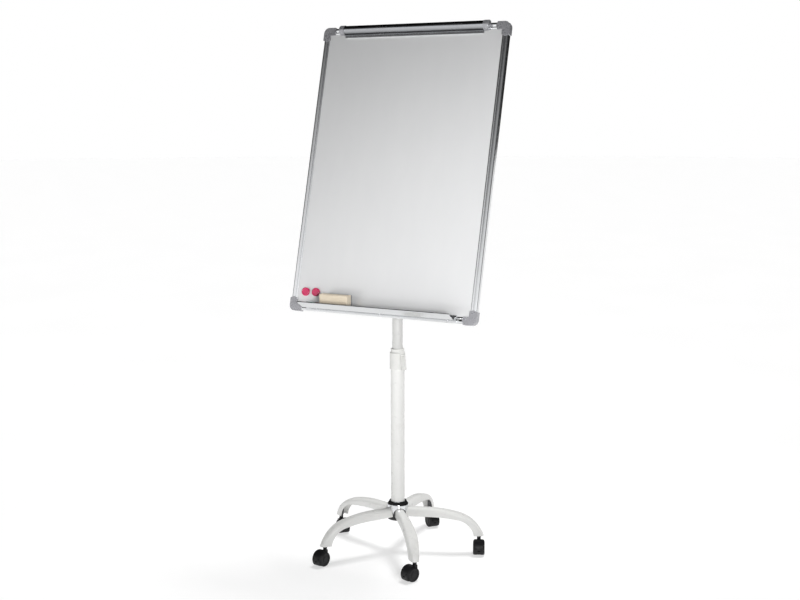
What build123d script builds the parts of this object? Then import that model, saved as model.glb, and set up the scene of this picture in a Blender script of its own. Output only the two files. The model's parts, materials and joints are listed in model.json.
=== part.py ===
from build123d import *
from math import atan2, cos, degrees, hypot, radians, sin
import os

os.makedirs("parts", exist_ok=True)

# A mobile flipchart easel. Millimetres, +Z up, the board's front looks towards -Y.
# The origin is on the floor, on the axis of the mast.

# ---- driving dimensions ----------------------------------------------------------------------
RUNNING_GAP = 0.3  # between curved faces that move past each other
SHAFT_GAP = 0.1  # radial, between a pin and its hole
WALL = 2.0  # tubes and legs

# base
leg_count = 5
base_turn = 3.0  # how far the base stands turned from its symmetric place, degrees
caster_circle = 285.5  # radius that the caster stems stand on
leg_end_z = 64.0  # the open lower end of every leg
leg_root_r = 29.6  # the legs are welded to the core here
hub_bottom_z = 116.0
hub_top_z = 182.0
hub_r = 38.2

# casters
wheel_r = 25.0
wheel_width = 13.3
caster_width = 42.0
caster_trail = 20.0  # from the stem to the axle
hood_r = 28.8
hood_wall = 2.5
axle_r = 3.0
stem_r = 5.5
stem_pin_r = 4.5
stem_pin_bottom_z = 38.0
caster_neck_r = 6.7
caster_headings = (-9.0, -20.0, 24.0, 50.0, 48.0)  # where each caster trails to at rest

# mast
lower_tube_r = 24.0
lower_tube_bottom_z = 126.0
lower_tube_top_z = 704.0
upper_tube_r = 18.0
upper_tube_bottom_z = 264.0
upper_tube_top_z = 1102.0
collar_r = 27.0
collar_bottom_z = 652.0
collar_top_z = 712.0
collar_ring_r = 23.3
collar_ring_top_z = 724.0
lever_hinge = (29.9, 702.0)  # radius and height of the lever's pivot
lever_half_width = 9.0
lever_heading = 66.0

# tilt joint
pivot_z = 1137.0
pivot_bolt_r = 5.0
head_r = 20.0
head_half_width = 20.0
ear_thickness = 3.0

# board
board_w = 703.0
board_h = 1000.0
board_tilt = 15.0  # degrees back from upright
pivot_up = 308.0  # the pivot's height above the board's lower edge, along the board
pivot_back = 55.0  # the pivot's distance behind the frame's front
frame_width = 22.0
frame_depth = 18.5
chamber_width = 12.0
panel_front = -3.6  # the writing face, behind the frame's front
sheet = 0.6
core_thickness = 10.0
corner_leg = 42.0
corner_proud = 3.0
corner_back = -20.0
corner_radius = 20.0
corner_cover = 1.6

# pad clamp
clamp_half = 265.0
clamp_r = 15.4
clamp_end_r = 17.0
clamp_wall = 2.2
clamp_centre = (4.6, 990.0)  # out from the board, up the board
clamp_hinge = (8.0, 1000.5)
clamp_rod_r = 2.0
clamp_cap_length = 20.0
clamp_rail_sheet = 2.0
hook_places = (-210.0, 210.0)

# pen tray
tray_half = 285.0
tray_sheet = 2.0
tray_line = ((1.0, 4.5), (1.0, 25.0), (27.0, 9.5), (62.0, 20.5))  # out, up
tray_bead_r = 3.0

# screws
screw_r = 2.0
screw_head_r = 4.0
screw_head = 2.2
screw_gap = 0.1


# ---- frames of reference ---------------------------------------------------------------------
def heading(angle):
    """A level direction, measured from the front (-Y) towards +X."""
    return Vector(sin(radians(angle)), -cos(radians(angle)), 0)


def leg_angle(number):
    return -180 / leg_count + base_turn + number * 360 / leg_count


up = Vector(0, sin(radians(board_tilt)), cos(radians(board_tilt)))
out = Vector(0, -cos(radians(board_tilt)), sin(radians(board_tilt)))
across = Vector(1, 0, 0)
board_foot = Vector(0, 0, pivot_z) - up * pivot_up + out * pivot_back
face = Plane(origin=board_foot, x_dir=across, z_dir=out)  # x across, y up the board, z outwards


def along_board(x):
    """For profiles that run across the board: x is outwards, y is up the board."""
    return Plane(origin=board_foot + across * x, x_dir=out, z_dir=-across)


def save(part, name):
    part.label = name
    export_step(part, "parts/" + name + ".step")


# ---- hub -------------------------------------------------------------------------------------
core_flange_z = 122.0
core_top_z = 171.0
boss_r = 9.0
hub_bolt_r = 5.0

with BuildPart() as hub_core:
    with BuildSketch(Plane.XY.offset(core_flange_z)):
        Circle(leg_root_r)
    extrude(amount=lower_tube_bottom_z - core_flange_z)
    with BuildSketch(Plane.XY.offset(lower_tube_bottom_z)):
        Circle(leg_root_r)
        Circle(lower_tube_r, mode=Mode.SUBTRACT)
    extrude(amount=core_top_z - lower_tube_bottom_z)
    with BuildSketch(Plane.XY.offset(lower_tube_bottom_z)):
        Circle(boss_r)
    extrude(amount=24)
    with BuildSketch(Plane.XY.offset(core_flange_z)):
        Circle(hub_bolt_r)
    extrude(amount=24, mode=Mode.SUBTRACT)
save(hub_core.part, "hub_core")

cap_wall = 1.5
arch_r = 22.3
arch_z = 138.5
cone_top_r = 30.5
cone_bottom_z = 171.0
with BuildPart() as hub_cap:
    with BuildSketch(Plane.XZ):
        with BuildLine():
            Polyline(
                (lower_tube_r + 0.2, hub_top_z),
                (cone_top_r - 2, hub_top_z),
                (cone_top_r, hub_top_z - 1.5),
                (hub_r - 0.8, cone_bottom_z),
                (hub_r, cone_bottom_z - 2),
                (hub_r, arch_z),
                (hub_r - cap_wall, arch_z),
                (hub_r - cap_wall, cone_bottom_z - 2),
                (cone_top_r - 1.5, hub_top_z - 3),
                (lower_tube_r + 0.2, hub_top_z - 2),
                close=True,
            )
        make_face()
    revolve(axis=Axis.Z)
    for number in range(leg_count):
        way = heading(leg_angle(number))
        with BuildSketch(Plane(origin=Vector(0, 0, arch_z), x_dir=way.cross(Vector(0, 0, -1)), z_dir=way)):
            Circle(arch_r)
        extrude(amount=hub_r + 5, mode=Mode.SUBTRACT)
save(hub_cap.part, "hub_cap")

with BuildPart() as hub_plate:
    with BuildSketch(Plane.XY.offset(hub_bottom_z)):
        Circle(hub_r - 1.5)
        Circle(hub_bolt_r + screw_gap, mode=Mode.SUBTRACT)
    extrude(amount=core_flange_z - hub_bottom_z)
    fillet(hub_plate.edges().filter_by(GeomType.CIRCLE).group_by(SortBy.RADIUS)[-1], 1.5)
save(hub_plate.part, "hub_plate")

with BuildPart() as hub_bolt:
    with BuildSketch(Plane.XY.offset(hub_bottom_z - 6.4)):
        RegularPolygon(9.4, 6)
    extrude(amount=6.4)
    with BuildSketch(Plane.XY.offset(hub_bottom_z)):
        Circle(hub_bolt_r)
    extrude(amount=28)
save(hub_bolt.part, "hub_bolt")

# ---- legs ------------------------------------------------------------------------------------
leg_tip_r = 302.5
leg_top_root_z = 158.0
leg_sole_root_z = 127.2
leg_straight_r = 100.0
leg_bend = (215.0, 142.0)  # radius and height where the top turns down
leg_heel_r = 268.5
leg_closed_r = 110.0  # the leg is a closed tube up to here, and open below from there on
leg_swell = ((leg_root_r, 15.5), (120.0, 18.0), (leg_bend[0], 21.0))  # radius, half width
leg_waist = ((268.0, 18.5), (leg_tip_r, 12.0))
leg_rounding = 11.5


def leg_solid(way, inset):
    """A leg's outer form, or its hollow when the inset is the wall's thickness."""
    side = way.cross(Vector(0, 0, -1))
    root_r = leg_root_r - inset / 2
    tip_r = leg_tip_r - inset
    foot_z = leg_end_z - 5 * inset
    with BuildPart() as solid:
        with BuildSketch(Plane(origin=(0, 0, 0), x_dir=way, z_dir=side * -1)):
            with BuildLine():
                top = Line((root_r, leg_top_root_z - inset), (leg_straight_r, leg_top_root_z - 0.4 - inset))
                middle = TangentArc(top @ 1, (leg_bend[0], leg_bend[1] - inset), tangent=top % 1)
                bend = TangentArc(middle @ 1, (tip_r, leg_end_z), tangent=middle % 1)
                if inset:
                    Polyline(
                        bend @ 1,
                        (tip_r, foot_z),
                        (leg_closed_r, foot_z),
                        (leg_closed_r, leg_sole_root_z + 0.6 + inset),
                        (root_r, leg_sole_root_z + inset),
                        top @ 0,
                    )
                else:
                    Line(bend @ 1, (leg_heel_r, leg_end_z))
                    Line(top @ 0, (root_r, leg_sole_root_z))
                    below = Line((root_r, leg_sole_root_z), (leg_straight_r + 20, leg_sole_root_z + 0.8))
                    sole = TangentArc(below @ 1, (leg_bend[0], leg_bend[1] - 22), tangent=below % 1)
                    TangentArc(sole @ 1, (leg_heel_r, leg_end_z), tangent=sole % 1)
            make_face()
        extrude(amount=30, both=True)
        with BuildSketch(Plane(origin=(0, 0, leg_end_z - 20), x_dir=way, z_dir=(0, 0, 1))):
            with BuildLine():
                (_, root_w), (mid_r, mid_w), (swell_r, swell_w) = leg_swell
                (waist_r, waist_w), (_, tip_w) = leg_waist
                swell = ThreePointArc(
                    (root_r, root_w - inset),
                    (mid_r, mid_w - inset),
                    (swell_r, swell_w - inset),
                )
                waist = ThreePointArc(swell @ 1, (waist_r, waist_w - inset), (tip_r, tip_w - inset))
                Line(waist @ 1, (tip_r, 0))
                Line((root_r, 0), swell @ 0)
                mirror(about=Plane.XZ)
            make_face()
        extrude(amount=200, mode=Mode.INTERSECT)
        tops = solid.faces().filter_by(
            lambda f: abs(f.normal_at().dot(side)) < 0.2 and f.normal_at().dot(Vector(0, 0, 1) + way) > 0.5
        )
        rims = ShapeList([edge for top in tops for edge in top.edges() if abs(edge.center().dot(side)) > 5])
        fillet(rims, leg_rounding - inset)
    return solid.part


socket_r = 9.0
socket_top_z = 92.0
stem_top_z = 82.0
leg_ways = [heading(leg_angle(number)) for number in range(leg_count)]
outsides = [leg_solid(way, 0) for way in leg_ways]
cavities = [leg_solid(way, WALL) for way in leg_ways]
for number in range(leg_count):
    with BuildPart() as leg:
        add(outsides[number])
        add(cavities[number], mode=Mode.SUBTRACT)
    save(leg.part, "leg_" + str(number + 1))

stem_places = [way * caster_circle for way in leg_ways]
with BuildPart() as stem_sockets:
    with BuildSketch(Plane.XY.offset(leg_end_z + 1)):
        with Locations(*stem_places):
            Circle(socket_r)
    extrude(amount=socket_top_z - leg_end_z)
    add(cavities, mode=Mode.INTERSECT)
    with BuildSketch(Plane.XY.offset(leg_end_z)):
        with Locations(*stem_places):
            Circle(stem_r)
    extrude(amount=stem_top_z - leg_end_z, mode=Mode.SUBTRACT)
save(stem_sockets.part, "stem_sockets")

with BuildPart() as caster_stems:
    with BuildSketch(Plane.XY.offset(stem_pin_bottom_z)):
        with Locations(*stem_places):
            Circle(stem_pin_r)
    extrude(amount=leg_end_z - stem_pin_bottom_z)
    with BuildSketch(Plane.XY.offset(leg_end_z)):
        with Locations(*stem_places):
            Circle(stem_r)
    extrude(amount=stem_top_z - leg_end_z)
save(caster_stems.part, "caster_stems")

# ---- casters ---------------------------------------------------------------------------------
web_half = 6.7
hood_start = -38.0  # the hood's arc about the axle: from low on the trailing side, over the top
hood_sweep = 158.0
hood_shoulder = 9.0
tread_rounding = 5.0
slot_size = (7.0, 5.0)
wheel_gap = 0.3
wheel_out = web_half + wheel_gap + wheel_width
for number, place in enumerate(stem_places):
    trail = heading(caster_headings[number])
    rolling = Plane(origin=place, x_dir=trail, z_dir=trail.cross(Vector(0, 0, 1)))
    with BuildPart() as barrel:
        with BuildSketch(rolling):
            with Locations((caster_trail, wheel_r)):
                Circle(hood_r)
        extrude(amount=caster_width / 2, both=True)
        fillet(barrel.edges().filter_by(GeomType.CIRCLE), hood_shoulder)

    with BuildPart() as housing:
        with BuildSketch(rolling):
            with BuildLine():
                outer = CenterArc((caster_trail, wheel_r), hood_r, hood_start, hood_sweep)
                inner = CenterArc((caster_trail, wheel_r), hood_r - hood_wall, hood_start, hood_sweep)
                Line(outer @ 0, inner @ 0)
                Line(outer @ 1, inner @ 1)
            make_face()
        extrude(amount=caster_width / 2, both=True)
        add(barrel.part, mode=Mode.INTERSECT)
        with BuildSketch(rolling):
            with Locations((caster_trail, wheel_r)):
                Circle(wheel_r - 3)
            with BuildLine():
                Polyline(
                    (-caster_neck_r, 33),
                    (-caster_neck_r, 50),
                    (caster_trail - 6, 50),
                    (caster_trail - 6, 33),
                    close=True,
                )
            make_face()
        extrude(amount=web_half, both=True)
        with BuildSketch(Plane.XY.offset(34)):
            with Locations(place):
                Circle(caster_neck_r)
        extrude(amount=leg_end_z - 1 - 34)
        hood_end = place + trail * (caster_trail + hood_r + 1)
        with BuildSketch(Plane(origin=hood_end, x_dir=rolling.z_dir, z_dir=trail * -1)):
            with Locations((-11, wheel_r + 5), (11, wheel_r + 5), (0, wheel_r - 4)):
                Rectangle(*slot_size)
        extrude(amount=6, mode=Mode.SUBTRACT)
        with BuildSketch(Plane.XY.offset(stem_pin_bottom_z - 1)):
            with Locations(place):
                Circle(stem_pin_r + SHAFT_GAP)
        extrude(amount=30, mode=Mode.SUBTRACT)
        with BuildSketch(rolling):
            with Locations((caster_trail, wheel_r)):
                Circle(axle_r + SHAFT_GAP)
        extrude(amount=caster_width, both=True, mode=Mode.SUBTRACT)
    save(housing.part, "caster_housing_" + str(number + 1))

    with BuildPart() as wheels:
        for side in (1, -1):
            with BuildSketch(rolling.offset(side * (web_half + wheel_gap))):
                with Locations((caster_trail, wheel_r)):
                    Circle(wheel_r)
            extrude(amount=side * wheel_width)
        treads = wheels.edges().filter_by(GeomType.CIRCLE).filter_by(
            lambda e: abs(abs((e.center() - place).dot(rolling.z_dir)) - wheel_out) < 0.01
        )
        fillet(treads, tread_rounding)
        for side in (1, -1):
            with BuildSketch(rolling.offset(side * wheel_out)):
                with Locations((caster_trail, wheel_r)):
                    Circle(wheel_r - 7)
                    Circle(wheel_r - 14, mode=Mode.SUBTRACT)
            extrude(amount=-side * 1.2, mode=Mode.SUBTRACT)
        with BuildSketch(rolling):
            with Locations((caster_trail, wheel_r)):
                Circle(axle_r)
        extrude(amount=wheel_out - 2, both=True)
    save(wheels.part, "caster_wheels_" + str(number + 1))

# ---- mast ------------------------------------------------------------------------------------
with BuildPart() as lower_tube:
    with BuildSketch(Plane.XY.offset(lower_tube_bottom_z)):
        Circle(lower_tube_r)
        Circle(lower_tube_r - WALL, mode=Mode.SUBTRACT)
    extrude(amount=lower_tube_top_z - lower_tube_bottom_z)
save(lower_tube.part, "lower_tube")

bush_flange_r = lower_tube_r - 0.4
bush_flange_z = lower_tube_top_z + 0.2
bush_top_z = bush_flange_z + 4.0
with BuildPart() as guide_bush:
    with BuildSketch(Plane.XY.offset(lower_tube_top_z - 60)):
        Circle(lower_tube_r - WALL - RUNNING_GAP)
        Circle(upper_tube_r + RUNNING_GAP, mode=Mode.SUBTRACT)
    extrude(amount=60.2)
    with BuildSketch(Plane.XY.offset(bush_flange_z)):
        Circle(bush_flange_r)
        Circle(upper_tube_r + RUNNING_GAP, mode=Mode.SUBTRACT)
    extrude(amount=bush_top_z - bush_flange_z)
save(guide_bush.part, "guide_bush")

lug_half = 4.0
lug_r = 2.8
lever_pin_r = 1.6
lever_way = heading(lever_heading)
lever_plane = Plane(origin=(0, 0, 0), x_dir=lever_way, z_dir=lever_way.cross(Vector(0, 0, 1)))
with BuildPart() as collar:
    with BuildSketch(Plane.XZ):
        with BuildLine():
            Polyline(
                (lower_tube_r, collar_bottom_z + 1),
                (lower_tube_r + 1, collar_bottom_z),
                (collar_r - 1, collar_bottom_z),
                (collar_r, collar_bottom_z + 1.5),
                (collar_r, collar_top_z - 3),
                (collar_ring_r + 1, collar_top_z),
                (collar_ring_r, collar_top_z + 1),
                (collar_ring_r, collar_ring_top_z - 1.5),
                (collar_ring_r - 1.5, collar_ring_top_z),
                (upper_tube_r + 2 * RUNNING_GAP, collar_ring_top_z),
                (upper_tube_r + 2 * RUNNING_GAP, bush_top_z + RUNNING_GAP),
                (lower_tube_r, bush_top_z + RUNNING_GAP),
                close=True,
            )
        make_face()
    revolve(axis=Axis.Z)
    with BuildSketch(lever_plane):
        with Locations((lever_hinge[0] - 2.5, lever_hinge[1])):
            Rectangle(5, 2 * lug_r)
        with Locations(lever_hinge):
            Circle(lug_r)
            Circle(lever_pin_r + SHAFT_GAP, mode=Mode.SUBTRACT)
    extrude(amount=lug_half, both=True)
save(collar.part, "collar")

with BuildPart() as collar_lever:
    with BuildSketch(lever_plane):
        with BuildLine():
            Polyline(
                (lever_hinge[0] - 1.8, lever_hinge[1] - lug_r - RUNNING_GAP),
                (lever_hinge[0] + 2.8, lever_hinge[1] - lug_r - RUNNING_GAP),
                (38.0, collar_bottom_z + 4),
                (37.4, collar_bottom_z),
                (34.4, collar_bottom_z),
                (lever_hinge[0] - 0.6, collar_bottom_z + 20),
                (lever_hinge[0] - 2.2, collar_bottom_z + 26),
                close=True,
            )
        make_face()
    extrude(amount=lever_half_width, both=True)
    across_lever = Axis((0, 0, 0), tuple(lever_plane.z_dir))
    fillet(collar_lever.edges().group_by(Axis.Z)[0].filter_by(across_lever), 0.8)
    for side in (1, -1):
        with BuildSketch(lever_plane.offset(side * (lug_half + RUNNING_GAP))):
            with Locations(lever_hinge):
                Circle(2.9)
            with Locations((lever_hinge[0] + 0.4, lever_hinge[1] - 2)):
                Rectangle(4.4, 4)
        extrude(amount=side * (lever_half_width - lug_half - RUNNING_GAP))
    with BuildSketch(lever_plane):
        with Locations(lever_hinge):
            Circle(lever_pin_r)
    extrude(amount=lever_half_width, both=True)
save(collar_lever.part, "collar_lever")

spigot_r = upper_tube_r - WALL
with BuildPart() as upper_tube:
    with BuildSketch(Plane.XY.offset(upper_tube_bottom_z)):
        Circle(upper_tube_r)
        Circle(spigot_r, mode=Mode.SUBTRACT)
    extrude(amount=upper_tube_top_z - upper_tube_bottom_z)
save(upper_tube.part, "upper_tube")

with BuildPart() as tube_foot:
    with BuildSketch(Plane.XY.offset(upper_tube_bottom_z - 12)):
        Circle(lower_tube_r - WALL - RUNNING_GAP)
    extrude(amount=12)
    chamfer(tube_foot.edges().group_by(Axis.Z)[0], 1.5)
    with BuildSketch(Plane.XY.offset(upper_tube_bottom_z)):
        Circle(lower_tube_r - WALL - RUNNING_GAP)
        Circle(upper_tube_r, mode=Mode.SUBTRACT)
    extrude(amount=28)
    with BuildSketch(Plane.XY.offset(upper_tube_bottom_z)):
        Circle(spigot_r)
    extrude(amount=20)
save(tube_foot.part, "tube_foot")

# ---- tilt head -------------------------------------------------------------------------------
with BuildPart() as tilt_head:
    with BuildSketch(Plane.YZ):
        with Locations((0, pivot_z)):
            Circle(head_r)
    extrude(amount=head_half_width, both=True)
    with BuildSketch(Plane.XY.offset(upper_tube_top_z)):
        Circle(upper_tube_r)
    extrude(amount=pivot_z - upper_tube_top_z)
    with BuildSketch(Plane.XY.offset(upper_tube_top_z - 40)):
        Circle(spigot_r)
    extrude(amount=40)
    with BuildSketch(Plane.YZ):
        with Locations((0, pivot_z)):
            Circle(pivot_bolt_r)
    extrude(amount=2 * head_half_width, both=True, mode=Mode.SUBTRACT)
save(tilt_head.part, "tilt_head")

ear_inner = head_half_width + RUNNING_GAP
ear_outer = ear_inner + ear_thickness
knob_start = ear_outer + RUNNING_GAP
knob_r = 24.0
knob_length = 22.0
bolt_end = knob_start + 16
with BuildPart() as pivot_bolt:
    with BuildSketch(Plane.YZ.offset(-ear_outer - RUNNING_GAP)):
        with Locations((0, pivot_z)):
            RegularPolygon(9.4, 6)
    extrude(amount=-6.4)
    with BuildSketch(Plane.YZ.offset(-ear_outer - RUNNING_GAP)):
        with Locations((0, pivot_z)):
            Circle(pivot_bolt_r)
    extrude(amount=ear_outer + RUNNING_GAP + bolt_end)
save(pivot_bolt.part, "pivot_bolt")

lobes = 5
with BuildPart() as tilt_knob:
    with BuildSketch(Plane.YZ.offset(knob_start)):
        with Locations((0, pivot_z)):
            Circle(11)
    extrude(amount=8)
    with BuildSketch(Plane.YZ.offset(knob_start + 6)):
        with Locations((0, pivot_z)):
            Circle(knob_r - 6)
            with PolarLocations(knob_r - 7, lobes):
                Circle(7)
    extrude(amount=knob_length - 6)
    fillet(tilt_knob.faces().sort_by(Axis.X)[-1].edges(), 2.0)
    with BuildSketch(Plane.YZ.offset(knob_start)):
        with Locations((0, pivot_z)):
            Circle(pivot_bolt_r + SHAFT_GAP)
    extrude(amount=17, mode=Mode.SUBTRACT)
save(tilt_knob.part, "tilt_knob")

# ---- board -----------------------------------------------------------------------------------
panel_inset = 12.5  # from the frame's outer edge to the panel's edge
panel_w = board_w - 2 * panel_inset
panel_h = board_h - 2 * panel_inset
core_front = panel_front - sheet
core_back = core_front - core_thickness
panel_back = core_back - sheet
for name, front, thickness in (
    ("board_face", panel_front, sheet),
    ("board_core", core_front, core_thickness),
    ("back_sheet", core_back, sheet),
):
    with BuildPart() as layer:
        with BuildSketch(face.offset(front)):
            with Locations((0, board_h / 2)):
                Rectangle(panel_w, panel_h)
        extrude(amount=-thickness)
    save(layer.part, name)

rail_heights = (pivot_up - 90, pivot_up + 90)
rail_front = panel_back
rail_depth = 12.0
bracket_front = rail_front - rail_depth
bracket_half_w = 80.0
bracket_sheet = 3.0
bracket_back = bracket_front - bracket_sheet
screw_reach = 9.0
# Where the screws stand across and up the board, how far out their heads seat, and whether
# they are driven from the front (+1) or from the rear (-1).
screw_groups = (
    ([(x, 8.5) for x in (-250, 0, 250)], tray_sheet, 1),
    ([(x, y) for x in (-65, 65) for y in rail_heights], bracket_back, -1),
    (
        [
            (side * (board_w / 2 - x), board_h / 2 - end * (board_h / 2 - y))
            for side in (-1, 1)
            for end in (-1, 1)
            for x, y in ((52, 6), (6, 52))
        ],
        -frame_depth,
        -1,
    ),
)
with BuildPart() as board_screws:
    for spots, seat, way in screw_groups:
        with BuildSketch(face.offset(seat)):
            with Locations(*spots):
                Circle(screw_head_r)
        extrude(amount=way * screw_head)
        with BuildSketch(face.offset(seat)):
            with Locations(*spots):
                Circle(screw_r)
        extrude(amount=-way * screw_reach)
save(board_screws.part, "board_screws")

with BuildPart() as screw_holes:
    for spots, seat, way in screw_groups:
        with BuildSketch(face.offset(seat)):
            with Locations(*spots):
                Circle(screw_r + screw_gap)
        extrude(amount=-way * (screw_reach + 1))

# The frame bar's section: x inwards from the bar's outer edge, y outwards from the board.
slot_front = panel_front + 0.1
slot_back = panel_back - 0.1
groove_x = 14.5
with BuildSketch() as bar_section:
    with BuildLine():
        crown = ThreePointArc((0, -4), (2.2, -1.57), (7, 0))
        saddle = ThreePointArc(crown @ 1, (11, -0.44), (groove_x, -1.6))
        bead = ThreePointArc(saddle @ 1, (17.5, -0.6), (frame_width - 1.5, -1.6))
        Polyline(
            bead @ 1,
            (frame_width, -2.2),
            (frame_width, slot_front),
            (chamber_width, slot_front),
            (chamber_width, slot_back),
            (frame_width, slot_back),
            (frame_width, slot_back - 1.6),
            (chamber_width, slot_back - 1.6),
            (chamber_width, -frame_depth),
            (1, -frame_depth),
            (0, -frame_depth + 1),
            crown @ 0,
        )
    make_face()
    with Locations((chamber_width / 2, (slot_front - frame_depth) / 2 - 0.6)):
        Rectangle(chamber_width - 3.2, frame_depth + slot_front - 2.8, mode=Mode.SUBTRACT)

half_w = board_w / 2
bars = {
    "frame_bottom": ((corner_leg - half_w, 0), up, board_w - 2 * corner_leg),
    "frame_top": ((half_w - corner_leg, board_h), -up, board_w - 2 * corner_leg),
    "frame_left": ((-half_w, board_h - corner_leg), across, board_h - 2 * corner_leg),
    "frame_right": ((half_w, corner_leg), -across, board_h - 2 * corner_leg),
}
for name, (start, inwards, length) in bars.items():
    origin = face.from_local_coords(Vector(start[0], start[1], 0))
    with BuildPart() as bar:
        with BuildSketch(Plane(origin=origin, x_dir=inwards, z_dir=inwards.cross(out))):
            add(bar_section.sketch)
        extrude(amount=length)
        add(screw_holes.part, mode=Mode.SUBTRACT)
    save(bar.part, name)

# Every corner piece is the same shape, turned: x and y run inwards along its two bars.
tongue_near = 2.3
tongue_far = 9.7
tongue_length = 24.0
tongue_back = -16.4
tongue_front = -6.0
cover_point = 5.0
inner_edge = frame_width + 2
corner_round = corner_radius - corner_proud
corners = {
    "corner_bottom_left": ((-half_w, 0), across),
    "corner_bottom_right": ((half_w, 0), up),
    "corner_top_right": ((half_w, board_h), -across),
    "corner_top_left": ((-half_w, board_h), -up),
}
for name, (place, first) in corners.items():
    origin = face.from_local_coords(Vector(place[0], place[1], 0))
    corner_plane = Plane(origin=origin, x_dir=first, z_dir=out)
    with BuildPart() as corner:
        for point, low, height in ((0, corner_back, -corner_back), (cover_point, 0, corner_cover)):
            with BuildSketch(corner_plane.offset(low)):
                with BuildLine():
                    turn = CenterArc((corner_round, corner_round), corner_radius, 180, 90)
                    Polyline(
                        turn @ 1,
                        (corner_leg, -corner_proud),
                        (corner_leg + point, (inner_edge - corner_proud) / 2),
                        (corner_leg, inner_edge),
                        (inner_edge, inner_edge),
                        (inner_edge, corner_leg),
                        ((inner_edge - corner_proud) / 2, corner_leg + point),
                        (-corner_proud, corner_leg),
                        turn @ 0,
                    )
                make_face()
            extrude(amount=height)
        with BuildSketch(corner_plane.offset(slot_back)):
            with Locations((chamber_width + 100, chamber_width + 100)):
                Rectangle(200.4, 200.4)
        extrude(amount=slot_front - slot_back, mode=Mode.SUBTRACT)
        with BuildSketch(corner_plane.offset(tongue_back)):
            with BuildLine():
                Polyline(
                    (tongue_near, tongue_near),
                    (corner_leg + tongue_length, tongue_near),
                    (corner_leg + tongue_length, tongue_far),
                    (tongue_far, tongue_far),
                    (tongue_far, corner_leg + tongue_length),
                    (tongue_near, corner_leg + tongue_length),
                    close=True,
                )
            make_face()
        extrude(amount=tongue_front - tongue_back)
        add(screw_holes.part, mode=Mode.SUBTRACT)
    save(corner.part, name)

# ---- tilt bracket ----------------------------------------------------------------------------
rail_half_h = 15.0
rail_half_w = half_w - frame_width - 0.5
with BuildPart() as back_rails:
    for height in rail_heights:
        with BuildSketch(along_board(0)):
            with Locations(((rail_front + bracket_front) / 2, height)):
                Rectangle(rail_depth, 2 * rail_half_h)
            with Locations(((rail_front + bracket_front) / 2 + WALL, height)):
                Rectangle(rail_depth, 2 * rail_half_h - 2 * WALL, mode=Mode.SUBTRACT)
        extrude(amount=rail_half_w, both=True)
    add(screw_holes.part, mode=Mode.SUBTRACT)
save(back_rails.part, "back_rails")

ear_foot = 55.0  # half of the ear's length where it leaves the plate
ear_round = 15.0
with BuildPart() as board_bracket:
    with BuildSketch(face.offset(bracket_back)):
        with Locations((0, pivot_up)):
            RectangleRounded(2 * bracket_half_w, 2 * (90 + rail_half_h), 8)
    extrude(amount=bracket_sheet)
    for side in (-1, 1):
        with BuildSketch(along_board(side * (ear_inner + ear_thickness / 2))):
            with BuildLine():
                Polyline(
                    (bracket_front - 1, pivot_up - ear_foot),
                    (-pivot_back, pivot_up - ear_round),
                    (-pivot_back, pivot_up + ear_round),
                    (bracket_front - 1, pivot_up + ear_foot),
                    close=True,
                )
            make_face()
            with Locations((-pivot_back, pivot_up)):
                Circle(ear_round)
        extrude(amount=ear_thickness / 2, both=True)
    with BuildSketch(along_board(0)):
        with Locations((-pivot_back, pivot_up)):
            Circle(pivot_bolt_r + SHAFT_GAP)
    extrude(amount=2 * ear_outer, both=True, mode=Mode.SUBTRACT)
    add(screw_holes.part, mode=Mode.SUBTRACT)
save(board_bracket.part, "board_bracket")

# ---- pad clamp -------------------------------------------------------------------------------
rail_low = 964.0
rail_high = 999.0
track_low = 979.0
track_high = 993.0
track_front = 6.0
track_wall = 1.5
track_lip = 1.2
hook_up = (track_low + track_high) / 2
with BuildPart() as clamp_rail:
    with BuildSketch(along_board(0)):
        with Locations((clamp_rail_sheet / 2, (rail_low + rail_high) / 2)):
            Rectangle(clamp_rail_sheet, rail_high - rail_low)
        with Locations((panel_front / 2, rail_low + 1)):
            Rectangle(-panel_front, 2)
        for edge, way in ((track_low, 1), (track_high, -1)):
            with Locations((track_front / 2, edge + way * track_wall / 2)):
                Rectangle(track_front, track_wall)
            with Locations((track_front - track_lip / 2, edge + way * 1.75)):
                Rectangle(track_lip, 3.5)
    extrude(amount=clamp_half - 1, both=True)
save(clamp_rail.part, "clamp_rail")

with BuildPart() as clamp_rod:
    with BuildSketch(along_board(0)):
        with Locations(clamp_hinge):
            Circle(clamp_rod_r)
    extrude(amount=clamp_half + clamp_cap_length / 2, both=True)
save(clamp_rod.part, "clamp_rod")

clamp_barrel_r = 4.4
with BuildPart() as clamp_bar:
    with BuildSketch(along_board(0)):
        with BuildLine():
            shell = CenterArc(clamp_centre, clamp_r, -90, 180)
            hollow = CenterArc(clamp_centre, clamp_r - clamp_wall, -90, 180)
            Line(shell @ 0, hollow @ 0)
            Line(shell @ 1, hollow @ 1)
        make_face()
        with Locations(clamp_hinge):
            Circle(clamp_barrel_r)
        with Locations((clamp_centre[0] + 1, clamp_centre[1] - clamp_r - 1)):
            SlotOverall(7, 2, rotation=90)
        with Locations(clamp_hinge):
            Circle(clamp_rod_r + SHAFT_GAP, mode=Mode.SUBTRACT)
    extrude(amount=clamp_half - RUNNING_GAP, both=True)
save(clamp_bar.part, "clamp_bar")

for name, side in (("clamp_end_left", -1), ("clamp_end_right", 1)):
    with BuildPart() as clamp_end:
        with BuildSketch(along_board(side * clamp_half)):
            with Locations(clamp_centre):
                Circle(clamp_end_r)
            with Locations((-20, clamp_centre[1])):
                Rectangle(40, 60, mode=Mode.SUBTRACT)
        extrude(amount=-side * clamp_cap_length)
        rims = clamp_end.faces().sort_by(Axis.X)[-1 if side > 0 else 0].edges().filter_by(GeomType.CIRCLE)
        fillet(rims, 4.0)
        with BuildSketch(along_board(side * clamp_half)):
            with Locations(clamp_hinge):
                Circle(clamp_rod_r)
        extrude(amount=-side * clamp_cap_length / 2, mode=Mode.SUBTRACT)
    save(clamp_end.part, name)

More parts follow.
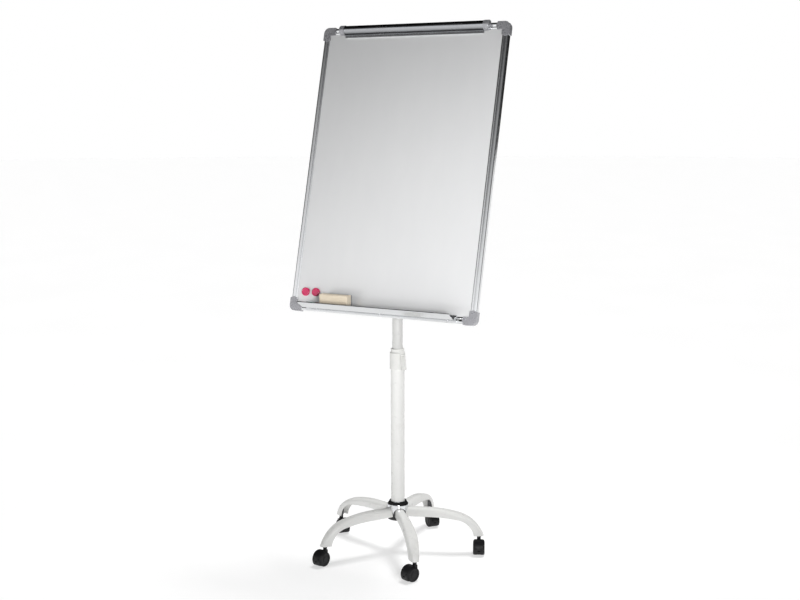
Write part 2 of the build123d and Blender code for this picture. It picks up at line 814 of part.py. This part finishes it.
slider_half = 12.0
slider_back = clamp_rail_sheet + RUNNING_GAP
slider_front = track_front - track_lip - RUNNING_GAP
neck_front = track_front + 1.5
peg_r = 3.0
peg_reach = 14.0
for name, place in zip(("pad_hook_left", "pad_hook_right"), hook_places):
    with BuildPart() as hook:
        with BuildSketch(face.offset(slider_back)):
            with Locations((place, hook_up)):
                Rectangle(2 * slider_half, track_high - track_low - 2 * track_wall - 2 * RUNNING_GAP)
        extrude(amount=slider_front - slider_back)
        with BuildSketch(face.offset(slider_back)):
            with Locations((place, hook_up)):
                Rectangle(2 * slider_half - 6, track_high - track_low - 7 - 2 * RUNNING_GAP)
        extrude(amount=neck_front - slider_back)
        with BuildSketch(face.offset(neck_front)):
            with Locations((place, hook_up)):
                Circle(peg_r)
        extrude(amount=peg_reach - neck_front)
        fillet(hook.faces().sort_by(Axis((0, 0, 0), tuple(out)))[-1].edges(), 1.0)
    save(hook.part, name)

# ---- pen tray --------------------------------------------------------------------------------
with BuildPart() as pen_tray:
    with BuildSketch(along_board(0)):
        for start, end in zip(tray_line, tray_line[1:]):
            run, rise = end[0] - start[0], end[1] - start[1]
            with Locations(((start[0] + end[0]) / 2, (start[1] + end[1]) / 2)):
                SlotCenterToCenter(hypot(run, rise), tray_sheet, rotation=degrees(atan2(rise, run)))
        with Locations((tray_line[-1][0] - 1, tray_line[-1][1] + 1.5)):
            Circle(tray_bead_r)
    extrude(amount=tray_half, both=True)
    add(screw_holes.part, mode=Mode.SUBTRACT)
save(pen_tray.part, "pen_tray")

plug_length = 12.0
plug_inset = 1.0
_, tray_back, tray_root, tray_lip = tray_line
for name, side in (("tray_plug_left", -1), ("tray_plug_right", 1)):
    with BuildPart() as plug:
        with BuildSketch(along_board(side * (tray_half - plug_inset))):
            with BuildLine():
                Polyline(
                    (tray_back[0] + 3.3, tray_back[1] - 0.75),
                    (tray_root[0] + 0.15, tray_root[1] + 1.13),
                    (tray_lip[0] - 4.2, tray_lip[1] - 0.24),
                    close=True,
                )
            make_face()
        extrude(amount=side * plug_length)
    save(plug.part, name)

# ---- loose items -----------------------------------------------------------------------------
magnet_r = 14.5
magnet_height = 8.0
magnet_dish_r = 10.5
magnet_places = ((-297.0, 65.0), (-256.5, 66.0))
for number, place in enumerate(magnet_places):
    with BuildPart() as magnet:
        with BuildSketch(face.offset(panel_front + 0.1)):
            with Locations(place):
                Circle(magnet_r)
        extrude(amount=magnet_height)
        fillet(magnet.faces().sort_by(Axis((0, 0, 0), tuple(out)))[-1].edges(), 2.5)
        with BuildSketch(face.offset(panel_front + 0.1 + magnet_height)):
            with Locations(place):
                Circle(magnet_dish_r)
        extrude(amount=-1.8, mode=Mode.SUBTRACT)
        circles = magnet.edges().filter_by(GeomType.CIRCLE)
        fillet(circles.filter_by(lambda edge: abs(edge.radius - magnet_dish_r) < 0.01), 0.7)
    save(magnet.part, "magnet_" + str(number + 1))

# The eraser stands level in the trough, on the trough's two slopes.
root_point = board_foot + out * tray_root[0] + up * tray_root[1]
back_point = board_foot + out * tray_back[0] + up * tray_back[1]
lip_point = board_foot + out * tray_lip[0] + up * tray_lip[1]
back_slope = (back_point.Z - root_point.Z) / (back_point.Y - root_point.Y)
lip_slope = (lip_point.Z - root_point.Z) / (root_point.Y - lip_point.Y)
eraser_x = (-212.0, -102.0)
eraser_depth = 36.0
felt_depth = 10.0
eraser_height = 42.0
eraser_reach = eraser_depth * lip_slope / (back_slope + lip_slope)
eraser_back_y = root_point.Y + eraser_reach
eraser_z = root_point.Z + back_slope * eraser_reach + tray_sheet / 2 + 0.5
eraser_centre_x = (eraser_x[0] + eraser_x[1]) / 2
with BuildPart() as eraser_block:
    with BuildSketch(Plane.XY.offset(eraser_z)):
        with Locations((eraser_centre_x, eraser_back_y - (eraser_depth + felt_depth) / 2)):
            Rectangle(eraser_x[1] - eraser_x[0], eraser_depth - felt_depth)
    extrude(amount=eraser_height)
    fillet(eraser_block.edges().group_by(Axis.Y)[0], 3.0)
save(eraser_block.part, "eraser_block")

with BuildPart() as eraser_felt:
    with BuildSketch(Plane.XY.offset(eraser_z + 1)):
        with Locations((eraser_centre_x, eraser_back_y - felt_depth / 2)):
            Rectangle(eraser_x[1] - eraser_x[0] - 2, felt_depth)
    extrude(amount=eraser_height - 2)
save(eraser_felt.part, "eraser_felt")

# The marker lies in the trough, touching both slopes.
marker_r = 9.0
marker_x = (-271.0, -233.0, -213.5)
half_angle = 90 - degrees(atan2(back_slope, 1) + atan2(lip_slope, 1)) / 2
marker_lean = degrees(atan2(lip_slope, 1) - atan2(back_slope, 1)) / 2
marker_lift = (marker_r + tray_sheet / 2 + 0.3) / sin(radians(half_angle))
marker_y = root_point.Y + marker_lift * sin(radians(marker_lean))
marker_z = root_point.Z + marker_lift * cos(radians(marker_lean))
for name, start, end, radius in (
    ("marker_barrel", marker_x[0], marker_x[1], marker_r - 0.8),
    ("marker_cap", marker_x[1], marker_x[2], marker_r),
):
    with BuildPart() as piece:
        with BuildSketch(Plane.YZ.offset(start)):
            with Locations((marker_y, marker_z)):
                Circle(radius)
        extrude(amount=end - start)
        fillet(piece.edges().filter_by(GeomType.CIRCLE), 1.2)
    save(piece.part, name)
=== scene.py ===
import json
from math import atan2, cos, radians, sin

import bmesh
import bpy
from mathutils import Matrix, Vector


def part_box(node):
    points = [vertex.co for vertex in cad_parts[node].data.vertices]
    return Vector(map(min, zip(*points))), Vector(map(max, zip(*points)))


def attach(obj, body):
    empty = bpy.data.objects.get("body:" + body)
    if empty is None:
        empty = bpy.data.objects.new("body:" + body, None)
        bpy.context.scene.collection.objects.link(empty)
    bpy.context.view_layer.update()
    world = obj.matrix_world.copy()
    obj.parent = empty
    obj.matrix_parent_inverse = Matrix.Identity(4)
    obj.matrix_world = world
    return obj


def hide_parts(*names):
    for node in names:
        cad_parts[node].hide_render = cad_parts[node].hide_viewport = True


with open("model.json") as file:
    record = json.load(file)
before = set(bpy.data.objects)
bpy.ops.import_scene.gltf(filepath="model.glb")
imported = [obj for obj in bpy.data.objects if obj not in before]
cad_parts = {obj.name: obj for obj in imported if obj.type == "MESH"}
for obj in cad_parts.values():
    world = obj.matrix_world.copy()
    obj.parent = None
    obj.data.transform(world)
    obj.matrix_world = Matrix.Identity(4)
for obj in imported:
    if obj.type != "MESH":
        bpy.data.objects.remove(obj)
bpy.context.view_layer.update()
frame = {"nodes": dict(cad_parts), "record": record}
nodes = frame["nodes"]

# ---- the board's own directions ----------------------------------------------------------------
mounts = {mount["name"]: mount for mount in frame["record"]["mounts"]}
OUT = Vector(mounts["writing_face"]["axis"]).normalized()
BOARD_LEAN = atan2(OUT.z, -OUT.y)


# ---- camera ------------------------------------------------------------------------------------
CAMERA_AZIMUTH = radians(27.94)  # from the board's front towards +X
CAMERA_ELEVATION = radians(8.76)
CAMERA_ROLL = radians(-0.14)
CAMERA_TARGET = Vector((0, 0, 0.892))
CAMERA_DISTANCE = 4.134
FOCAL_LENGTH, SENSOR_WIDTH = 54.27, 36  # millimetres
FRAME_SHIFT = 0.0032
CAMERA_REACH = 60


def add_camera():
    """Looks at the target from in front of the board, to its right and a little above."""
    across = cos(CAMERA_ELEVATION)
    away = Vector(
        (sin(CAMERA_AZIMUTH) * across, -cos(CAMERA_AZIMUTH) * across, sin(CAMERA_ELEVATION))
    )
    data = bpy.data.cameras.new("camera")
    data.sensor_width = SENSOR_WIDTH
    data.lens = FOCAL_LENGTH
    data.shift_x = FRAME_SHIFT
    data.clip_end = CAMERA_REACH
    camera = bpy.data.objects.new("camera", data)
    place = Matrix.Translation(CAMERA_TARGET + away * CAMERA_DISTANCE)
    aim = away.to_track_quat("Z", "Y").to_matrix().to_4x4()
    camera.matrix_world = (place @ aim) @ Matrix.Rotation(CAMERA_ROLL, 4, "Z")
    bpy.context.scene.collection.objects.link(camera)
    bpy.context.scene.camera = camera


add_camera()


# ---- material helpers --------------------------------------------------------------------------
def mix_colours(tree, factor, low, high):
    """A colour blend of two values, each of them a colour or another node's output."""
    node = tree.nodes.new("ShaderNodeMix")
    node.data_type = "RGBA"
    tree.links.new(factor, node.inputs["Factor"])
    for socket, colour in ((node.inputs["A"], low), (node.inputs["B"], high)):
        if isinstance(colour, tuple):
            socket.default_value = (*colour, 1)
        else:
            tree.links.new(colour, socket)
    return node.outputs["Result"]


class Shader:
    """One Principled material and the few node patterns that the finishes share."""

    def __init__(self, name, scale=(1, 1, 1), lean=0.0, **constants):
        self.material = bpy.data.materials.new(name)
        self.material.use_nodes = True
        self.tree = self.material.node_tree
        self.body = self.tree.nodes["Principled BSDF"]
        for socket, value in constants.items():
            self.body.inputs[socket.replace("_", " ")].default_value = value
        place = self.tree.nodes.new("ShaderNodeTexCoord").outputs["Object"]
        if lean:
            place = self.mapped(place, rotation=(lean, 0, 0))
        self.plain = place
        self.place = self.mapped(place, scale=scale) if tuple(scale) != (1, 1, 1) else place

    def mapped(self, vector, scale=(1, 1, 1), rotation=(0, 0, 0)):
        node = self.tree.nodes.new("ShaderNodeMapping")
        node.inputs["Scale"].default_value = scale
        node.inputs["Rotation"].default_value = rotation
        self.tree.links.new(vector, node.inputs["Vector"])
        return node.outputs[0]

    def noise(self, scale, detail=2.0, rough=0.5, distortion=0.0, place=None):
        node = self.tree.nodes.new("ShaderNodeTexNoise")
        node.inputs["Scale"].default_value = scale
        node.inputs["Detail"].default_value = detail
        node.inputs["Roughness"].default_value = rough
        node.inputs["Distortion"].default_value = distortion
        self.tree.links.new(place or self.place, node.inputs["Vector"])
        return node.outputs["Fac"]

    def spread(self, value, low, high, start=0.35, end=0.65):
        node = self.tree.nodes.new("ShaderNodeMapRange")
        node.inputs["From Min"].default_value = start
        node.inputs["From Max"].default_value = end
        node.inputs["To Min"].default_value = low
        node.inputs["To Max"].default_value = high
        self.tree.links.new(value, node.inputs["Value"])
        return node.outputs[0]

    def blend(self, factor, low, high):
        return mix_colours(self.tree, factor, low, high)

    def cells(self, scale):
        """Distance to the nearest crystal's middle, for zinc spangle."""
        node = self.tree.nodes.new("ShaderNodeTexVoronoi")
        node.inputs["Scale"].default_value = scale
        self.tree.links.new(self.place, node.inputs["Vector"])
        return node.outputs["Distance"]

    def product(self, a, b):
        node = self.tree.nodes.new("ShaderNodeMath")
        node.operation = "MULTIPLY"
        self.tree.links.new(a, node.inputs[0])
        self.tree.links.new(b, node.inputs[1])
        return node.outputs[0]

    def edges(self, radius):
        """1 along sharp edges and 0 on flat ground."""
        bevel = self.tree.nodes.new("ShaderNodeBevel")
        bevel.samples = 4
        bevel.inputs["Radius"].default_value = radius
        ground = self.tree.nodes.new("ShaderNodeNewGeometry")
        dot = self.tree.nodes.new("ShaderNodeVectorMath")
        dot.operation = "DOT_PRODUCT"
        self.tree.links.new(bevel.outputs[0], dot.inputs[0])
        self.tree.links.new(ground.outputs["Normal"], dot.inputs[1])
        return self.spread(dot.outputs["Value"], 1.0, 0.0, 0.75, 0.97)

    def colour(self, result):
        self.tree.links.new(result, self.body.inputs["Base Color"])

    def rough(self, result):
        self.tree.links.new(result, self.body.inputs["Roughness"])

    def edge_wear_and_highlight(self, radius, strength, ground, edge_colour):
        """Sets the base colour, shifted from ground to the edge colour along sharp edges: worn
        edges on most finishes, a painted highlight on the magnets' rim.
        """
        edge_share = self.spread(self.edges(radius), 0, strength, 0, 1)
        self.colour(self.blend(edge_share, ground, edge_colour))

    def bumps(self, *heights):
        """Pairs of a height pattern and its depth in metres, from coarse to fine."""
        normal = None
        for pattern, depth in heights:
            node = self.tree.nodes.new("ShaderNodeBump")
            node.inputs["Strength"].default_value = 1.0
            node.inputs["Distance"].default_value = depth
            self.tree.links.new(pattern, node.inputs["Height"])
            if normal:
                self.tree.links.new(normal, node.inputs["Normal"])
            normal = node.outputs[0]
        self.tree.links.new(normal, self.body.inputs["Normal"])


ALONG_X = (0.02, 1, 1)  # pattern scales that draw a grain out along one direction
ALONG_BOARD = (1, 1, 0.02)


def painted(name, light, dark, grime, roughness):
    """Powder coat: orange peel, a little dust, and slightly rubbed edges."""
    shader = Shader(name, IOR=1.5, Coat_Weight=0.12, Coat_Roughness=0.25)
    tone = shader.blend(shader.spread(shader.noise(9, 4), 0, 1), light, dark)
    dust = shader.product(shader.noise(38, 6, 0.65), shader.noise(5, 2))
    dusty = shader.blend(shader.spread(dust, 0, 0.55, 0.30, 0.48), tone, grime)
    shader.edge_wear_and_highlight(0.0012, 0.35, dusty, grime)
    shader.rough(shader.spread(shader.noise(60, 5, 0.6), *roughness))
    shader.bumps((shader.noise(14, 2), 0.0004), (shader.noise(700, 2, 0.6), 0.00006))
    return shader.material


def moulded(name, light, dark, roughness, grain=0.00008, painted_rim_highlight=None, **constants):
    """Moulded plastic: a fine spark-eroded grain, worn shinier in places, with paler worn edges; a
    given rim colour is a painted highlight along the edges instead.
    """
    shader = Shader(name, **constants)
    tone = shader.blend(shader.spread(shader.noise(18, 4, 0.6), 0, 1), light, dark)
    # A given rim colour is a painted highlight; without one, the edges are worn paler.
    pale = painted_rim_highlight or tuple(min(1.0, channel * 1.25 + 0.008) for channel in light)
    shader.edge_wear_and_highlight(0.0016 if painted_rim_highlight else 0.0010, 0.6, tone, pale)
    worn = shader.product(shader.noise(25, 5, 0.6), shader.noise(140, 3, 0.6))
    shader.rough(shader.spread(worn, *roughness, 0.15, 0.35))
    shader.bumps((shader.noise(30, 2), 0.0003), (shader.noise(1800, 2, 0.55), grain))
    return shader.material


def extruded(name, scale, lean=0.0, light=(0.80, 0.81, 0.82), dark=(0.71, 0.72, 0.73)):
    """Anodised aluminium with die lines along the extrusion."""
    shader = Shader(name, scale, lean, Metallic=1.0)
    lines = shader.noise(420, 6, 0.7)
    broad = shader.noise(60, 3, 0.6)
    tone = shader.blend(shader.spread(lines, 0, 1), light, dark)
    smudge = shader.spread(shader.noise(7, 5, 0.6, 0.8, shader.plain), 0, 0.25, 0.5, 0.75)
    dull = shader.blend(smudge, tone, (0.60, 0.60, 0.60))
    shader.edge_wear_and_highlight(0.0008, 0.7, dull, (0.92, 0.92, 0.93))
    shader.rough(shader.spread(shader.product(lines, broad), 0.10, 0.22, 0.15, 0.4))
    shader.bumps((broad, 0.00005), (lines, 0.000025))
    return shader.material


def chromed():
    """Chrome plate, faintly clouded, with fine wiping marks."""
    shader = Shader("chrome", Metallic=1.0)
    cloud = shader.noise(35, 5, 0.6)
    shader.colour(shader.blend(shader.spread(cloud, 0, 1), (0.84, 0.85, 0.87), (0.74, 0.75, 0.77)))
    fine = shader.noise(900, 4, 0.7)
    shader.rough(shader.spread(shader.product(cloud, fine), 0.05, 0.16, 0.15, 0.4))
    shader.bumps((shader.noise(22, 2), 0.0002), (fine, 0.000008))
    return shader.material


def polished_bar():
    """The clamp bar: rolled section with faint draw lines, and a painted dark reflection that turns
    its colour near-black where it is seen edge-on.
    """
    shader = Shader(
        "clamp_metal_and_painted_reflection", ALONG_X, Metallic=1.0, Specular_Tint=(0.25, 0.25, 0.26, 1)
    )
    lines = shader.noise(500, 5, 0.7)
    cloud = shader.noise(12, 5, 0.6, 0.4, shader.plain)
    tone = shader.blend(shader.spread(lines, 0, 1), (0.52, 0.53, 0.55), (0.45, 0.46, 0.48))
    facing = shader.tree.nodes.new("ShaderNodeLayerWeight")
    facing.inputs["Blend"].default_value = 0.5
    painted_reflection_mask = shader.spread(facing.outputs["Facing"], 0, 1, 0.05, 0.48)
    # Painted dark reflection: the colour goes near-black wherever the bar is seen edge-on.
    shader.colour(shader.blend(painted_reflection_mask, tone, (0.04, 0.04, 0.045)))
    shader.rough(shader.spread(cloud, 0.16, 0.28))
    shader.bumps((cloud, 0.00012), (lines, 0.00001))
    return shader.material


def zinc():
    """Zinc-plated fasteners and pins."""
    shader = Shader("zinc", Metallic=0.95)
    flakes = shader.spread(shader.cells(220), 0, 1, 0, 0.8)
    shader.colour(shader.blend(flakes, (0.66, 0.66, 0.68), (0.50, 0.50, 0.52)))
    shader.rough(shader.spread(shader.noise(160, 4), 0.26, 0.45))
    shader.bumps((shader.noise(500, 3), 0.00004))
    return shader.material


def galvanised(name, light, dark):
    """Galvanised sheet: spangle under long dull streaks, and slightly wavy."""
    shader = Shader(name, Metallic=0.35)
    tone = shader.blend(shader.spread(shader.cells(90), 0, 1, 0.1, 0.7), light, dark)
    streak = shader.spread(shader.noise(3, 5, 0.6), 0, 0.5, 0.45, 0.7)
    shader.colour(shader.blend(streak, tone, (0.50, 0.50, 0.49)))
    shader.rough(shader.spread(shader.noise(40, 4), 0.38, 0.58))
    shader.bumps((shader.noise(4, 1), 0.0008), (shader.noise(320, 3), 0.00004))
    return shader.material


def enamel():
    """Gloss white steel: nearly flat, with faint wiping haze and ghosts of old ink."""
    shader = Shader(
        "enamel", lean=BOARD_LEAN, IOR=1.5, Coat_Weight=1.0, Coat_IOR=1.9, Coat_Roughness=0.22
    )
    sweep = shader.mapped(shader.plain, (5.0, 1.0, 1.4), (0, radians(24), 0))
    haze = shader.noise(3.2, 5, 0.55, 0.2, sweep)
    ghost = shader.product(shader.noise(16, 4, 0.6, 0.1, sweep), shader.noise(2.2, 2))
    tone = shader.blend(shader.spread(haze, 0, 1), (0.750, 0.754, 0.758), (0.737, 0.742, 0.747))
    shader.colour(shader.blend(shader.spread(ghost, 0, 0.08, 0.12, 0.45), tone, (0.69, 0.70, 0.72)))
    shader.rough(shader.spread(haze, 0.24, 0.27, 0.2, 0.8))
    shader.bumps((shader.noise(2.6, 1), 0.0004), (shader.noise(500, 2), 0.000008))
    return shader.material


def fibreboard():
    """The board's core, whose fibres show only at its edges."""
    shader = Shader("fibreboard", (1, 1, 6))
    fibres = shader.noise(260, 6, 0.7)
    shader.colour(shader.blend(shader.spread(fibres, 0, 1), (0.48, 0.34, 0.20), (0.33, 0.22, 0.12)))
    shader.rough(shader.spread(fibres, 0.7, 0.9))
    shader.bumps((fibres, 0.0003))
    return shader.material


def beech():
    """The eraser's block: pale wood, with its grain and pores along the block."""
    shader = Shader("beech", (0.12, 1, 1))
    grain = shader.noise(150, 6, 0.65, 0.6)
    pores = shader.noise(900, 3, 0.6)
    tone = shader.blend(shader.spread(grain, 0, 1), (0.80, 0.71, 0.57), (0.74, 0.64, 0.50))
    shader.colour(shader.blend(shader.spread(pores, 0, 0.25, 0.5, 0.7), tone, (0.58, 0.46, 0.33)))
    shader.rough(shader.spread(grain, 0.45, 0.65))
    shader.bumps((grain, 0.0001), (pores, 0.00006))
    return shader.material


def felted():
    """The eraser's pad: grey tufted felt in clumps."""
    shader = Shader("felt", Sheen_Weight=0.5, Sheen_Roughness=0.5, Specular_IOR_Level=0.2)
    tuft = shader.noise(700, 6, 0.75, 1.5)
    clump = shader.noise(90, 4, 0.6)
    tone = shader.blend(shader.spread(tuft, 0, 1), (0.34, 0.34, 0.35), (0.16, 0.16, 0.17))
    shader.colour(shader.blend(shader.spread(clump, 0, 0.6), tone, (0.24, 0.24, 0.26)))
    shader.rough(shader.spread(clump, 0.85, 0.98))
    shader.bumps((clump, 0.0006), (tuft, 0.0005))
    return shader.material


# ---- finishes on the CAD nodes -----------------------------------------------------------------
finishes = {
    "white_paint": painted(
        "powder_coat", (0.74, 0.74, 0.725), (0.71, 0.71, 0.695), (0.58, 0.57, 0.55), (0.26, 0.40)
    ),
    "white_plastic": moulded(
        "white_moulding", (0.69, 0.69, 0.67), (0.66, 0.66, 0.64), (0.30, 0.48), IOR=1.46
    ),
    # Near-black hub steel: partly the core's own dark casting, partly painted shade for the
    # shadowed inside of the hub.
    "hub_steel": painted(
        "hub_black_and_painted_shade", (0.050, 0.050, 0.053), (0.038, 0.038, 0.040), (0.14, 0.14, 0.135), (0.35, 0.5)
    ),
    "chrome": chromed(),
    "steel": zinc(),
    "head_casting": painted(
        "head_black", (0.045, 0.045, 0.05), (0.03, 0.03, 0.035), (0.12, 0.12, 0.12), (0.3, 0.5)
    ),
    "black_plastic": moulded(
        "black_moulding", (0.008, 0.008, 0.009), (0.005, 0.005, 0.006), (0.40, 0.58),
        Specular_IOR_Level=0.3,
    ),
    "wheel_plastic": moulded(
        "wheel_moulding", (0.009, 0.009, 0.010), (0.006, 0.006, 0.007), (0.44, 0.62),
        Specular_IOR_Level=0.3,
    ),
    "white_enamel": enamel(),
    "core_board": fibreboard(),
    "back_metal": galvanised("back_zinc", (0.60, 0.61, 0.62), (0.52, 0.53, 0.54)),
    "bracket_steel": painted(
        "bracket_white", (0.78, 0.78, 0.76), (0.73, 0.73, 0.71), (0.5, 0.5, 0.48), (0.3, 0.45)
    ),
    "aluminium": extruded("aluminium_across", ALONG_X),
    "grey_plastic": moulded(
        "grey_moulding", (0.41, 0.41, 0.43), (0.35, 0.35, 0.37), (0.22, 0.34), 0.00003,
        Metallic=0.55,
    ),
    # The magnets' pale pink rim is a painted highlight.
    "magnet_pink": moulded(
        "pink_moulding", (0.70, 0.018, 0.13), (0.60, 0.012, 0.10), (0.08, 0.16), 0.00001,
        painted_rim_highlight=(0.95, 0.30, 0.48), Coat_Weight=0.6, Coat_Roughness=0.05,
    ),
    "eraser_wood": beech(),
    "felt": felted(),
    "marker_green": moulded(
        "marker_teal", (0.02, 0.33, 0.27), (0.015, 0.27, 0.22), (0.14, 0.26), 0.00002
    ),
    "marker_cap": moulded(
        "marker_black", (0.016, 0.016, 0.018), (0.010, 0.010, 0.012), (0.12, 0.26), 0.00002
    ),
}
# The upper tube, just below the board, gets a darker copy of the powder coat.
greyer_coat = painted(
    "powder_coat_inner", (0.57, 0.57, 0.56), (0.54, 0.54, 0.53), (0.45, 0.45, 0.43), (0.24, 0.38)
)
upright_bars = extruded("aluminium_upright", ALONG_BOARD, BOARD_LEAN)
special = {  # nodes that differ from the rest of their slot, by the way of the grain or the tone
    "frame_left": upright_bars,
    "frame_right": upright_bars,
    "clamp_bar": polished_bar(),
    "upper_tube": greyer_coat,
    "pen_tray": extruded(
        "aluminium_tray", ALONG_X, light=(0.70, 0.71, 0.72), dark=(0.60, 0.61, 0.62)
    ),
}
for part in frame["record"]["subparts"]:
    node = nodes[part["node"]]
    node.data.materials.clear()
    node.data.materials.append(special.get(part["node"], finishes[part["material_slot"]]))


# ---- pieces built here -------------------------------------------------------------------------
def mesh_object(name, mesh, material):
    """Turns a finished bmesh into an object in the scene, and frees it."""
    data = bpy.data.meshes.new(name)
    mesh.to_mesh(data)
    mesh.free()
    data.materials.append(material)
    piece = bpy.data.objects.new(name, data)
    bpy.context.scene.collection.objects.link(piece)
    return piece


FELT_LAYERS = 4
FELT_FILL = 0.96  # a layer's thickness as a share of its pitch, the rest being the seam
FELT_ROUNDING = 0.3  # the rounded edge, as a share of the pitch


def felt_pad():
    """Layers of felt side by side, each with a soft rounded edge."""
    low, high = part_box("eraser_felt")
    pitch = (high.y - low.y) / FELT_LAYERS
    mesh = bmesh.new()
    for layer in range(FELT_LAYERS):
        start = low.y + pitch * layer
        block = bmesh.ops.create_cube(mesh, size=1)["verts"]
        size = Vector((high.x - low.x, pitch * FELT_FILL, high.z - low.z))
        centre = Vector(((low.x + high.x) / 2, start + pitch / 2, (low.z + high.z) / 2))
        bmesh.ops.scale(mesh, verts=block, vec=size)
        bmesh.ops.translate(mesh, verts=block, vec=centre)
    rounding = pitch * FELT_ROUNDING
    bmesh.ops.bevel(
        mesh, geom=mesh.edges[:], offset=rounding, segments=3, affect="EDGES", profile=0.6
    )
    piece = mesh_object("felt_layers", mesh, finishes["felt"])
    for polygon in piece.data.polygons:
        polygon.use_smooth = True
    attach(piece, "eraser")
    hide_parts("eraser_felt")


felt_pad()


# ---- stage and light ---------------------------------------------------------------------------
FLOOR_RADIUS = 40
FLOOR_GLOW = 0.57  # how strongly the floor shines by itself
LAMP_SIZE = 0.3  # every spot lamp's radius, which softens its shadow
SWEEP_UP = (0, 0.42, 0.91)  # the way that the sweep darkens: up, and back over the board
SWEEP_LEVELS = ((0.44, 1.15), (0.49, 0.85), (0.53, 0.30), (0.57, 0.08), (0.62, 0.02))
SWEEP_BLUE = 1.01  # blue over red and green in the sweep
ROOM_LEVEL = 0.13
BACKDROP = (1, 1, 1)


def stage_floor():
    """Plain pale floor, far enough across to have no visible edge."""
    shader = Shader("studio_floor", Emission_Strength=FLOOR_GLOW, Emission_Color=(1, 1, 1, 1))
    mottle = shader.spread(shader.noise(1.5, 3), 0, 1)
    shader.colour(shader.blend(mottle, (0.50, 0.50, 0.50), (0.48, 0.48, 0.48)))
    shader.rough(shader.spread(shader.noise(30, 3), 0.75, 0.9))
    mesh = bmesh.new()
    bmesh.ops.create_circle(mesh, cap_ends=True, segments=96, radius=FLOOR_RADIUS)
    floor = mesh_object("studio_floor", mesh, shader.material)


def lamp(name, data, aim, glossy):
    """A lamp that shines against the aim vector."""
    light = bpy.data.objects.new(name, data)
    light.rotation_euler = aim.to_track_quat("Z", "Y").to_euler()
    light.visible_glossy = glossy
    bpy.context.scene.collection.objects.link(light)
    return light


def spot_light(name, place, target, cone, power, glossy=False):
    data = bpy.data.lights.new(name, "SPOT")
    data.spot_size = radians(cone)
    data.spot_blend = 1.0
    data.shadow_soft_size = LAMP_SIZE
    data.energy = power
    light = lamp(name, data, Vector(place) - Vector(target), glossy)
    light.location = place
    light.visible_camera = False


def sun_light(name, direction, spread, strength):
    data = bpy.data.lights.new(name, "SUN")
    data.angle = radians(spread)
    data.energy = strength
    lamp(name, data, Vector(direction), glossy=False)


def world_light():
    """A studio in three parts.

    Reflections show a white sweep that rises in front of the board and darkens above and behind
    it. Diffuse light comes evenly from a dim room. The camera sees a plain white backdrop.
    """
    world = bpy.data.worlds.new("studio")
    world.use_nodes = True
    tree = world.node_tree
    place = tree.nodes.new("ShaderNodeTexCoord")
    height = tree.nodes.new("ShaderNodeVectorMath")
    height.operation = "DOT_PRODUCT"
    height.inputs[1].default_value = SWEEP_UP
    tree.links.new(place.outputs["Generated"], height.inputs[0])
    spread = tree.nodes.new("ShaderNodeMapRange")
    spread.inputs["From Min"].default_value = -1
    tree.links.new(height.outputs["Value"], spread.inputs["Value"])
    ramp = tree.nodes.new("ShaderNodeValToRGB")
    stops = ramp.color_ramp.elements
    stops[0].position = SWEEP_LEVELS[0][0]
    stops[1].position = SWEEP_LEVELS[-1][0]
    for position, _ in SWEEP_LEVELS[1:-1]:
        stops.new(position)
    for stop, (_, level) in zip(stops, SWEEP_LEVELS):
        stop.color = (level, level, level * SWEEP_BLUE, 1)
    tree.links.new(spread.outputs[0], ramp.inputs[0])
    path = tree.nodes.new("ShaderNodeLightPath").outputs
    room = (ROOM_LEVEL, ROOM_LEVEL, ROOM_LEVEL)
    lit = mix_colours(tree, path["Is Diffuse Ray"], ramp.outputs[0], room)
    seen = mix_colours(tree, path["Is Camera Ray"], lit, BACKDROP)
    tree.links.new(seen, tree.nodes["Background"].inputs["Color"])
    bpy.context.scene.world = world


stage_floor()
world_light()
sun_light("overhead", (0.10, 0.30, 1.0), 20, 2.6)
spot_light("low_right", (1.5, -2.0, 1.1), (0.28, -0.15, 0.86), 58, 150, glossy=True)
spot_light("high_right", (1.6, -1.2, 2.2), (0.5, 0.1, 1.6), 40, 34)
spot_light("low_left", (-1.2, -2.2, 0.4), (-0.2, -0.1, 0.6), 44, 46)
bpy.context.scene.view_settings.view_transform = "Standard"
